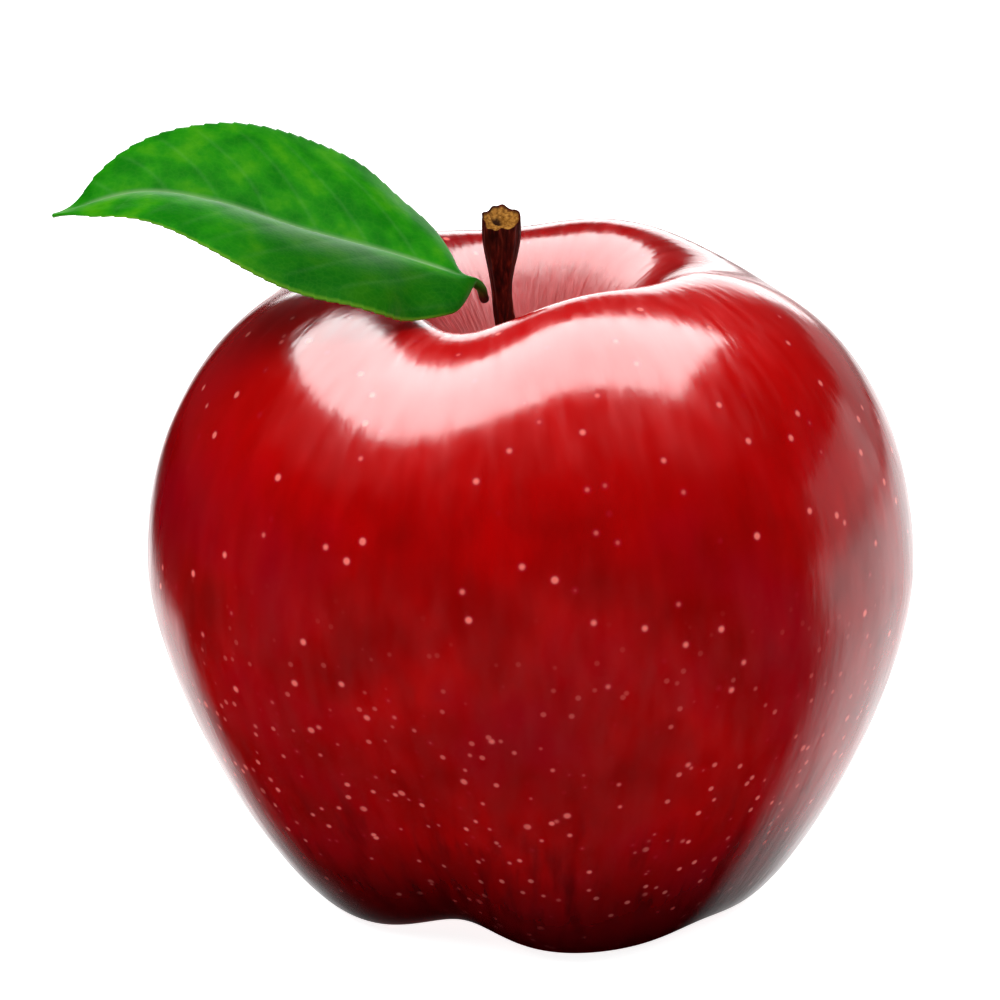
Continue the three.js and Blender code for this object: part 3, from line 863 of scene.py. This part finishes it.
def leaf_piece():
    """The leaf: closed rings across it, from a round petiole to a thin folded blade.

    q runs from -1 at the near margin over 0 at the midrib to 1 at the far margin, on top and back
    below. Each point lies at q times the half width from the midrib, on the slope of its half,
    which changes from the midrib outwards. The margin has forward-pointing teeth. Veins leave
    the midrib by turns on its two sides and curve to the tip; the blade is sunk along them above
    and raised below.
    """
    node = leaf_node()
    root = node + PETIOLE_LENGTH * unit(np.array(PETIOLE_WAY))
    corners = [node, *(root + LEAF_LENGTH * np.array(shares) for shares in MIDRIB_COURSE)]
    line, _ = course(corners, np.linspace(0, 1, 400))
    whole = np.linalg.norm(np.diff(line, axis=0), axis=1).sum()
    blade_start = PETIOLE_LENGTH / whole
    share = np.linspace(0, 1, 330)[:, None]
    line, along = course(corners, share[:, 0])
    along = unit(calmed(along, count=33))
    up = unit(np.array([0, 0, 1.0]) - along * along[:, 2:])
    away = np.cross(along, up)

    half = np.linspace(0, 1, 42)
    top = np.concatenate([-half[::-1], half[1:]])
    q = np.concatenate([top, top[::-1][1:-1]])[None, :]
    face = np.concatenate([np.ones(len(top)), -np.ones(len(top) - 2)])[None, :]
    near = q < 0
    blade = (share - blade_start) / (1 - blade_start)
    widths = np.where(near, leaf_half_width(blade, True), leaf_half_width(blade, False))
    tooth = (share * whole / TOOTH_LENGTH) % 1.0
    teeth = TOOTH_HEIGHT * (tooth - 0.5) * smoothstep(blade, 0.06, 0.2) * (1 - smoothstep(blade, 0.9, 1))
    spread = np.abs(q)
    width = np.maximum(widths, PETIOLE_RADIUS)
    reach = width * spread + teeth * smoothstep(spread, 0.85, 1)
    opened = smoothstep(width, PETIOLE_RADIUS, LEAF_FOLD_WIDTH)
    at_midrib = np.where(near, LEAF_FOLD_NEAR[0], LEAF_FOLD_FAR[0])
    at_margin = np.where(near, LEAF_FOLD_NEAR[1], LEAF_FOLD_FAR[1])
    droop = LEAF_FOOT_DROOP * (1 - smoothstep(share, blade_start, LEAF_FOOT_END))
    slope = np.radians((at_midrib + 0.5 * (at_margin - at_midrib) * spread - droop) * opened)

    # Side veins run out from the midrib at about 60 degrees to it and bend forwards.
    way_out = share * whole - VEIN_LEAN * reach - VEIN_BEND * reach**2
    phase = way_out / VEIN_SPACING + np.where(near, 0.0, VEIN_STAGGER)
    off_vein = np.abs(phase - np.round(phase)) * VEIN_SPACING
    on_blade = smoothstep(blade, 0.02, 0.1) * (1 - smoothstep(blade, 0.86, 0.97))
    fading = (1 - smoothstep(spread, 0.72, 0.97)) * on_blade
    side_vein = np.exp(-((off_vein / VEIN_WIDTH) ** 2)) * fading
    midrib = np.exp(-((reach / MIDRIB_LINE_WIDTH) ** 2)) * smoothstep(1 - share, 0, 0.1)
    quilt = QUILT_HEIGHT * (1 - np.exp(-((off_vein / 1.1) ** 2))) * fading * smoothstep(reach, 0.5, 2)

    rib = np.exp(-((reach / MIDRIB_HALF_WIDTH) ** 2)) * smoothstep(1 - share, 0, 0.3)
    blade_half = 0.5 * BLADE_THICKNESS * (1 - spread**10) + MIDRIB_DEPTH * rib * (face < 0)
    round_half = PETIOLE_RADIUS * np.cos(0.5 * np.pi * q)
    stalk = 1 - smoothstep(blade, -0.01, 0.05)
    lateral = reach * (1 - stalk) + stalk * PETIOLE_RADIUS * np.sin(0.5 * np.pi * spread)
    thick = blade_half * (1 - stalk) + round_half * stalk
    relief = (quilt - MIDRIB_GROOVE * midrib * on_blade) * (1 - stalk)
    wave = MARGIN_WAVE_HEIGHT * np.sin(share * whole / MARGIN_WAVE_RADIAN + np.where(near, 0.0, 1.3))
    wave = wave * smoothstep(spread, 0.5, 1)
    lift = lateral * np.sin(slope) + face * thick + relief + wave * on_blade * opened
    side = np.where(near, -1.0, 1.0) * lateral * np.cos(slope)
    rings = line[:, None] + side[..., None] * away[:, None] + lift[..., None] * up[:, None]

    # The deep mark is painted shade on the near half, towards the foot of the blade.
    towards_foot = 1 - smoothstep(share, 0.45, 0.75)
    marks = {
        "vein": np.clip(0.08 * side_vein + midrib * on_blade, 0, 1),
        "under": (face < 0) * (1 - stalk),
        "margin": smoothstep(spread, 0.962, 0.995) * on_blade * near,
        "deep": 0.7 * near * smoothstep(spread, 0.02, 0.3) * towards_foot,
        "woody": 1 - smoothstep(share, 0.2 * blade_start, 0.95 * blade_start),
    }
    grid = rings.shape[:2]
    marks = {name: per_point(np.broadcast_to(values, grid)) for name, values in marks.items()}
    leaf = piece("apple_leaf", "leaf", fresh_apple_leaf(), [ring_skin(rings)], marks)
    # Its green isn't mirrored in the skin, where it would turn the red to brown.
    leaf.visible_glossy = False


# ---- The dried flower ----
def sepal_rings(turn, seed):
    """One sepal: flat elliptic rings along a curve that leans in and curls out at its tip.

    Its width falls as 1 - 0.85 * share^1.4, and its sides curl up by a share of the width.
    """
    rng = np.random.default_rng(seed)
    share = np.linspace(0, 1, 40)
    lean = 2.8 + rng.uniform(-0.2, 0.2)
    corners = (
        (SEPAL_RING_RADIUS, -CLEARANCE),
        (SEPAL_RING_RADIUS, -0.35 * SEPAL_LENGTH),
        (SEPAL_RING_RADIUS - lean, -0.6 * SEPAL_LENGTH),
        (SEPAL_RING_RADIUS - 0.6, -SEPAL_LENGTH),
    )
    t = share[:, None]
    a, b, c, d = (np.array(corner) for corner in corners)
    line = (1 - t) ** 3 * a + 3 * (1 - t) ** 2 * t * b + 3 * (1 - t) * t**2 * c + t**3 * d
    along = unit(np.gradient(line, axis=0))
    angle = np.linspace(0, 2 * np.pi, 25)[None, :-1]
    half = 0.5 * SEPAL_WIDTH * (1 - 0.85 * t**1.4) * (1 + 0.08 * np.sin(17 * t + turn))
    side = half * np.cos(angle)
    deep = 0.5 * SEPAL_THICKNESS * np.sin(angle) * (1 - 0.5 * t) + 0.35 * side**2 / half
    deep = deep + 0.08 * np.sin(9 * t + 3 * np.cos(angle))
    out = line[:, :1] - along[:, 1:] * deep
    down = line[:, 1:] + along[:, :1] * deep
    x, y = math.cos(turn), math.sin(turn)
    return np.stack([out * x - side * y, out * y + side * x, down], axis=-1)


def flower_pieces():
    """Five sepals round the tuft, and the tuft itself: a bundle of thin bent filaments."""
    material = dried_flower()
    for index in range(1, SEPAL_COUNT + 1):
        turn = (index - 0.5) / SEPAL_COUNT * 2 * math.pi
        skin = ring_skin(sepal_rings(turn, seed=index))
        piece(f"dried_sepal_{index}", f"sepal_{index}", material, [skin])
    rng = np.random.default_rng(11)
    angle = np.linspace(0, 2 * np.pi, 9)[None, :-1]
    share = np.linspace(0, 1, 14)[:, None]
    skins = []
    for _ in range(FILAMENT_COUNT):
        away, turn = TUFT_RADIUS * math.sqrt(rng.uniform(0, 1)), rng.uniform(0, 2 * np.pi)
        bend, reach = rng.uniform(-0.25, 0.25, 2), rng.uniform(0.75, 1)
        spot = 0.75 * away * np.array([math.cos(turn), math.sin(turn)])
        middle = spot * (1 + 0.3 * share) + bend * share**2
        # A filament thins from its foot and ends in a small bead.
        thick = FILAMENT_RADIUS * (1 - 0.4 * share + np.exp(-(((share - 0.93) / 0.06) ** 2)))
        x = middle[:, :1] + thick * np.cos(angle)
        y = middle[:, 1:] + thick * np.sin(angle)
        z = -CLEARANCE - reach * TUFT_LENGTH * share + 0 * angle
        skins.append(ring_skin(np.stack([x, y, z], axis=-1)))
    piece("stamen_tuft", "stamens", material, skins)


# ---- Stage: floor, light and camera ----
def area_light(name, aim, azimuth, elevation, distance, size, radiance, shows_in):
    """A soft light that faces aim, seen from it at an azimuth and elevation in degrees.

    Azimuth 0 is the front and 90 is the right-hand side. Its power is radiance * pi * width * depth,
    so that its brightness in a reflection doesn't depend on its size. shows_in is "gloss" for a
    card that only shows in the gloss, "body" for a light that only lights the colour under it.
    """
    turn, rise = math.radians(azimuth), math.radians(elevation)
    level = math.cos(rise)
    out = Vector((math.sin(turn) * level, -math.cos(turn) * level, math.sin(rise)))
    upright = Vector((0, 1, 0)) if elevation > 60 else Vector((0, 0, 1))
    side = upright.cross(out).normalized()
    lamp = bpy.data.lights.new(name, "AREA")
    lamp.shape = "RECTANGLE"
    lamp.size, lamp.size_y = size
    lamp.energy = radiance * math.pi * size[0] * size[1]
    made = bpy.data.objects.new(name, lamp)
    made.location = aim + out * distance
    made.rotation_euler = Matrix((side, out.cross(side), out)).transposed().to_euler()
    made.visible_camera = False
    made.visible_glossy = shows_in == "gloss"
    made.visible_diffuse = shows_in == "body"
    bpy.context.scene.collection.objects.link(made)
    return made


def white_room():
    """A surround that is white to the camera and nearly dark to the apple, and a white table.

    To the camera the table is bright and nearly free of shadow. To the body of the colours it is
    a white surface, shaded by the apple. In the gloss only its back half shows, as a pale sheet
    that starts beside the apple, ends a little way off to the left and fades into the distance.
    """
    world = bpy.data.worlds.new("white_room")
    bpy.context.scene.world = world
    world.use_nodes = True
    tree = world.node_tree
    tree.nodes.clear()
    seen = add(tree, "ShaderNodeLightPath").outputs["Is Camera Ray"]
    strength = add(tree, "ShaderNodeMapRange", {"Value": seen, "To Min": 0.02, "To Max": 1.0})
    back = add(
        tree,
        "ShaderNodeBackground",
        {"Color": (1, 1, 1, 1), "Strength": strength.outputs["Result"]},
    )
    out = add(tree, "ShaderNodeOutputWorld")
    tree.links.new(back.outputs[0], out.inputs["Surface"])

    # Metres: half the table, where the sheet's front border bends, the band over which it begins,
    # the band over which it ends on the left, and the distances between which it fades.
    floor_half = 3.0
    bend, slant = 0.019, 0.55
    begin_from, begin_to = -0.017, 0.005
    end_from, end_to = -0.13, -0.08
    fade_from, fade_to = 0.2, 1.2
    sheet_strength, table_strength = 1.6, 0.9
    mesh = bpy.data.meshes.new("floor")
    corners = [(x * floor_half, y * floor_half, 0.0) for x, y in ((-1, -1), (1, -1), (1, 1), (-1, 1))]
    mesh.from_pydata(corners, [], [(0, 1, 2, 3)])
    floor = bpy.data.objects.new("floor", mesh)
    floor.location.z = cad_low.z
    floor.visible_shadow = False
    material, tree, output = new_material("white_table")
    rays = add(tree, "ShaderNodeLightPath").outputs
    bright = add(tree, "ShaderNodeMapRange", {"Value": rays["Is Camera Ray"], "To Max": table_strength})
    white = add(
        tree,
        "ShaderNodeBsdfPrincipled",
        {
            "Base Color": linear("f4f4f4"),
            "Roughness": 0.9,
            "Emission Color": (1, 1, 1, 1),
            "Emission Strength": bright.outputs["Result"],
        },
    )
    place = add(tree, "ShaderNodeTexCoord").outputs["Object"]
    spot = add(tree, "ShaderNodeSeparateXYZ", {0: place}).outputs
    # Its front border runs straight to the right, and away from the front to the left.
    aside = add(tree, "ShaderNodeMath", {0: spot["X"], 1: bend}, operation="ADD")
    leftward = add(tree, "ShaderNodeMath", {0: aside.outputs[0], 1: 0.0}, operation="MINIMUM")
    border = add(
        tree,
        "ShaderNodeMath",
        {0: leftward.outputs[0], 1: slant, 2: spot["Y"]},
        operation="MULTIPLY_ADD",
    )
    begins = add(
        tree,
        "ShaderNodeMapRange",
        {
            "Value": border.outputs[0],
            "From Min": begin_from,
            "From Max": begin_to,
            "To Max": sheet_strength,
        },
        interpolation_type="SMOOTHSTEP",
    )
    ends = add(
        tree,
        "ShaderNodeMapRange",
        {"Value": spot["X"], "From Min": end_from, "From Max": end_to},
        interpolation_type="SMOOTHSTEP",
    )
    off = add(tree, "ShaderNodeVectorMath", {0: place}, operation="LENGTH").outputs["Value"]
    fades = add(
        tree,
        "ShaderNodeMapRange",
        {"Value": off, "From Min": fade_from, "From Max": fade_to, "To Min": 1.0, "To Max": 0.0},
        interpolation_type="SMOOTHSTEP",
    )
    sheet = begins.outputs["Result"]
    for share in (ends.outputs["Result"], fades.outputs["Result"]):
        sheet = add(tree, "ShaderNodeMath", {0: sheet, 1: share}, operation="MULTIPLY").outputs[0]
    shown = add(tree, "ShaderNodeEmission", {"Color": (1, 1, 1, 1), "Strength": sheet})
    surface = add(
        tree,
        "ShaderNodeMixShader",
        {0: rays["Is Glossy Ray"], 1: white.outputs[0], 2: shown.outputs[0]},
    )
    # From below the table is clear, so that the underside of the apple can be seen.
    below = add(tree, "ShaderNodeNewGeometry").outputs["Backfacing"]
    clear = add(tree, "ShaderNodeBsdfTransparent")
    either = add(
        tree, "ShaderNodeMixShader", {0: below, 1: surface.outputs[0], 2: clear.outputs[0]}
    )
    tree.links.new(either.outputs[0], output.inputs["Surface"])
    material.cycles.emission_sampling = "NONE"
    mesh.materials.append(material)
    bpy.context.scene.collection.objects.link(floor)


def studio(middle, fruit):
    """Soft lights for the body of the colours, and pale cards that show only in the gloss.

    The strong box overhead is flagged off from everything but the fruit, so that the leaf and
    the stem don't glare. Each row is a name, azimuth, elevation, distance, size and radiance.
    """
    body = (
        ("top_light", 0, 80, 0.9, (1.2, 1.2), 1.1),
        ("key_light", -78, 48, 0.9, (0.5, 0.5), 5.8),
        ("right_light", 72, 48, 0.9, (0.5, 0.5), 3.4),
        ("front_light", 10, -6, 1.0, (0.8, 0.4), 1.3),
        ("under_light", 0, -80, 0.9, (1.2, 1.2), 0.5),
        ("back_light", 175, 25, 1.0, (0.8, 0.5), 3.0),
    )
    gloss = (
        ("overhead_box", 180, 82, 0.6, (0.92, 0.52), 14.0),
        ("back_card", 177, 14, 0.8, (0.5, 0.3), 3.4),
        ("right_back_card", 148, 7, 0.8, (0.8, 0.2), 0.4),
        ("right_card", 112, 6, 0.6, (0.4, 0.2), 0.6),
    )
    fruit_only = bpy.data.collections.new("fruit_only")
    fruit_only.objects.link(fruit)
    for shows_in, rows in (("body", body), ("gloss", gloss)):
        for name, azimuth, elevation, distance, size, radiance in rows:
            light = area_light(name, middle, azimuth, elevation, distance, size, radiance, shows_in)
            if name == "overhead_box":
                light.light_linking.receiver_collection = fruit_only


def front_camera(middle):
    """The camera in front, a little above the apple, with a long lens."""
    camera = bpy.data.cameras.new("camera")
    camera.sensor_width = 36
    camera.lens = 173.2  # millimetres
    view = bpy.data.objects.new("camera", camera)
    elevation, distance = math.radians(15.4), 0.5
    off_middle = Vector((0.00096, 0.00035, 0.00105))  # from the box's middle to the aim, in metres
    target = middle + off_middle
    away = Vector((0, -math.cos(elevation), math.sin(elevation)))
    view.location = target + away * distance
    view.rotation_euler = away.to_track_quat("Z", "Y").to_euler()
    bpy.context.scene.collection.objects.link(view)
    bpy.context.scene.camera = view


bpy.context.scene.view_settings.view_transform = "Standard"
cad_middle = (cad_low + cad_high) / 2
white_room()
studio(cad_middle, fruit_piece())
front_camera(cad_middle)
stem_piece()
leaf_piece()
flower_pieces()
